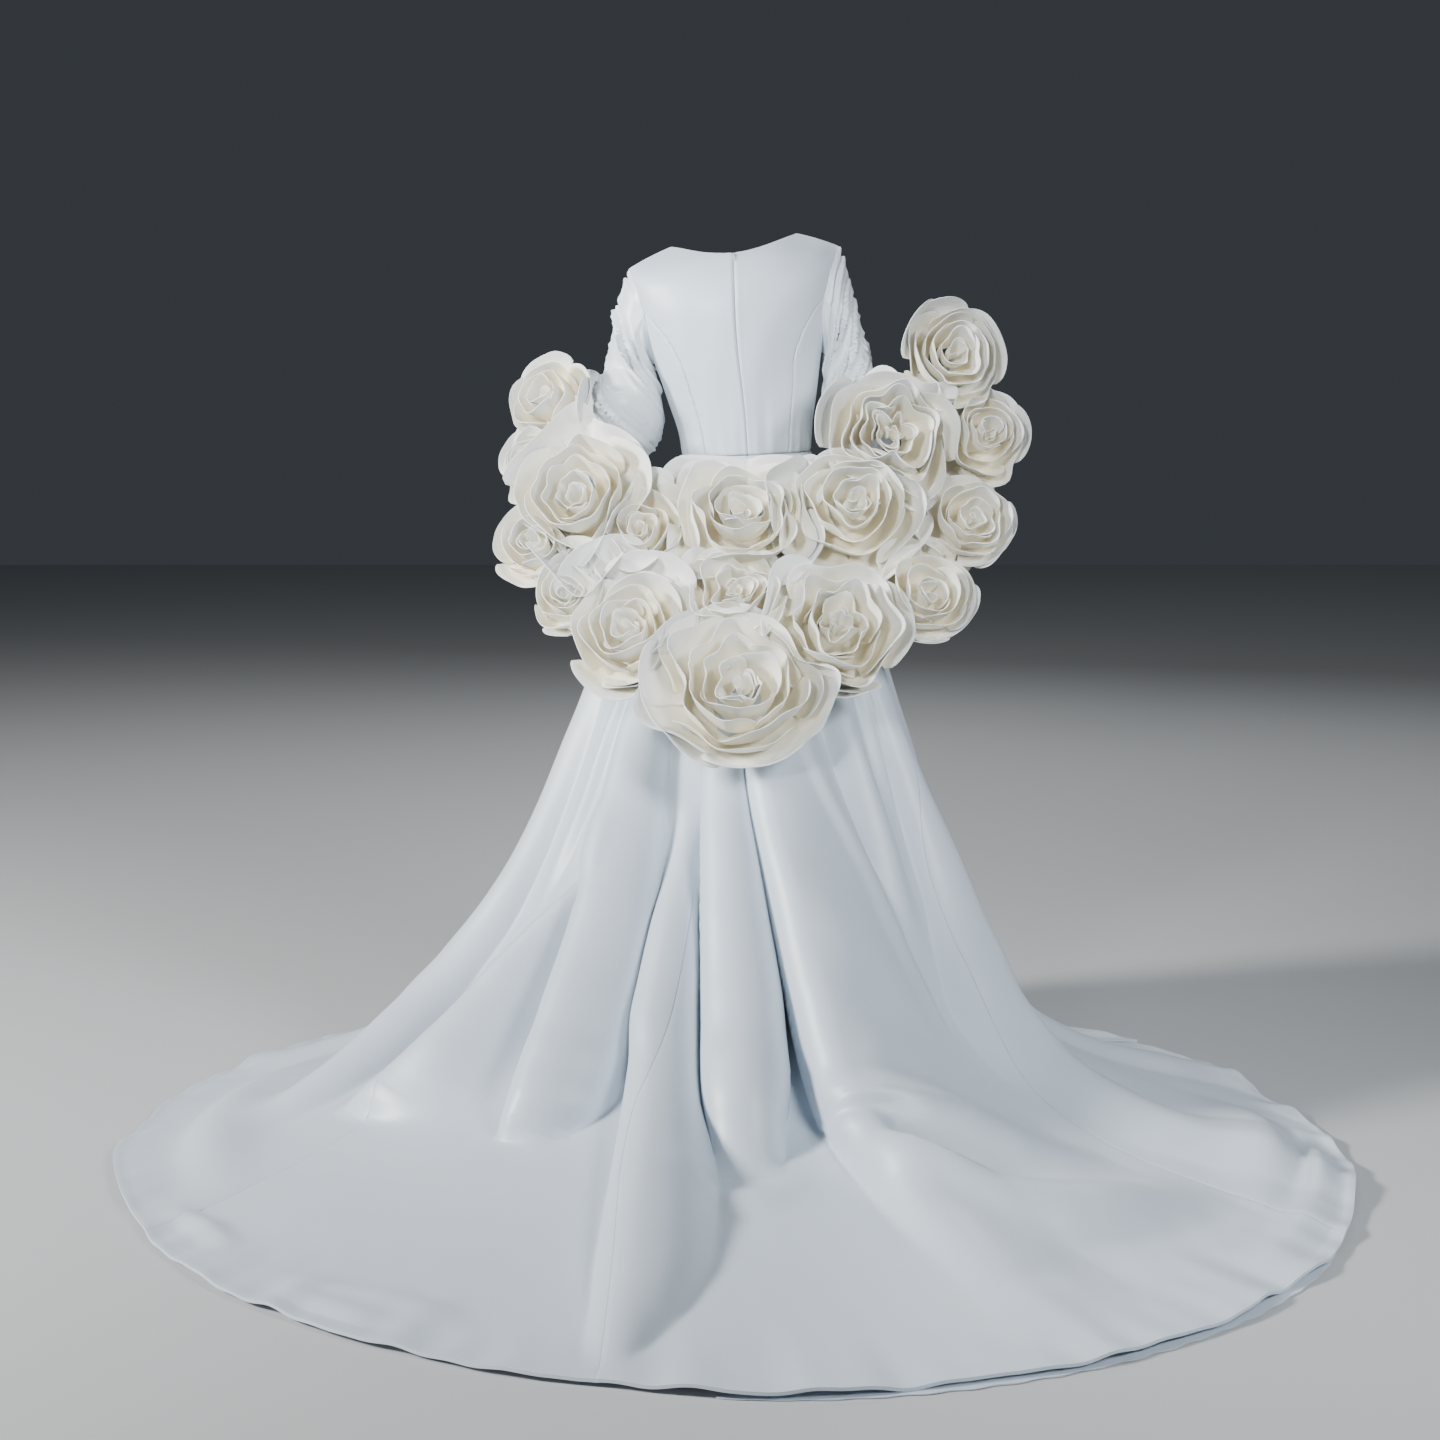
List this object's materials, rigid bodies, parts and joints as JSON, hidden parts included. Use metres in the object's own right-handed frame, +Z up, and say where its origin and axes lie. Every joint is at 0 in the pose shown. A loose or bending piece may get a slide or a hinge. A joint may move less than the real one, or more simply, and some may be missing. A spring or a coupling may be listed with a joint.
{
  "type": "wedding dress",
  "caption": "Long-sleeved satin wedding dress with a fitted princess-seamed bodice, a full skirt with a round train and a garland of large fabric roses behind the hips.",
  "frame": {"origin": "between the wearer's shoulders, 1.5 m above the floor, where the dress is held up", "axes": "+Z up, the wearer faces -Y, the train lies towards +Y, +X is the wearer's left"},
  "size_m": [2.0366, 2.0241, 1.5516],
  "materials": {
    "satin": "heavy satin",
    "rose_satin": "soft satin",
    "backing": "satin",
    "zip_metal": "polished"
  },
  "bodies": {
    "dress": {"bodice_back_left": "satin", "bodice_back_right": "satin", "bodice_front": "satin", "bodice_side_back_left": "satin", "bodice_side_back_right": "satin", "bodice_side_front_left": "satin", "bodice_side_front_right": "satin", "sleeve_left": "satin", "sleeve_left_forearm": "satin", "sleeve_right": "satin", "sleeve_right_forearm": "satin", "skirt_back_left": "satin", "skirt_back_right": "satin", "skirt_front": "satin", "skirt_side_left": "satin", "skirt_side_right": "satin", "hem_facing": "satin", "garland_band": "backing", "rose_bottom": "rose_satin", "rose_centre_middle": "rose_satin", "rose_centre_top": "rose_satin", "rose_left_large": "rose_satin", "rose_left_low": "rose_satin", "rose_left_middle": "rose_satin", "rose_left_side": "rose_satin", "rose_left_small": "rose_satin", "rose_left_top": "rose_satin", "rose_lower_left": "rose_satin", "rose_lower_right": "rose_satin", "rose_right_centre": "rose_satin", "rose_right_large": "rose_satin", "rose_right_low": "rose_satin", "rose_right_lower_outer": "rose_satin", "rose_right_outer": "rose_satin", "rose_right_top": "rose_satin", "zip_slider": "zip_metal"},
    "zip_pull": {"zip_pull": "zip_metal"}
  },
  "joints": [
    {"name": "zip_pull_hinge", "type": "hinge", "parent": "dress", "child": "zip_pull", "pos_m": [0.00701, 0.07671, 0.00929], "axis": [1, 0, 0], "range_deg": [0, 150]}
  ]
}
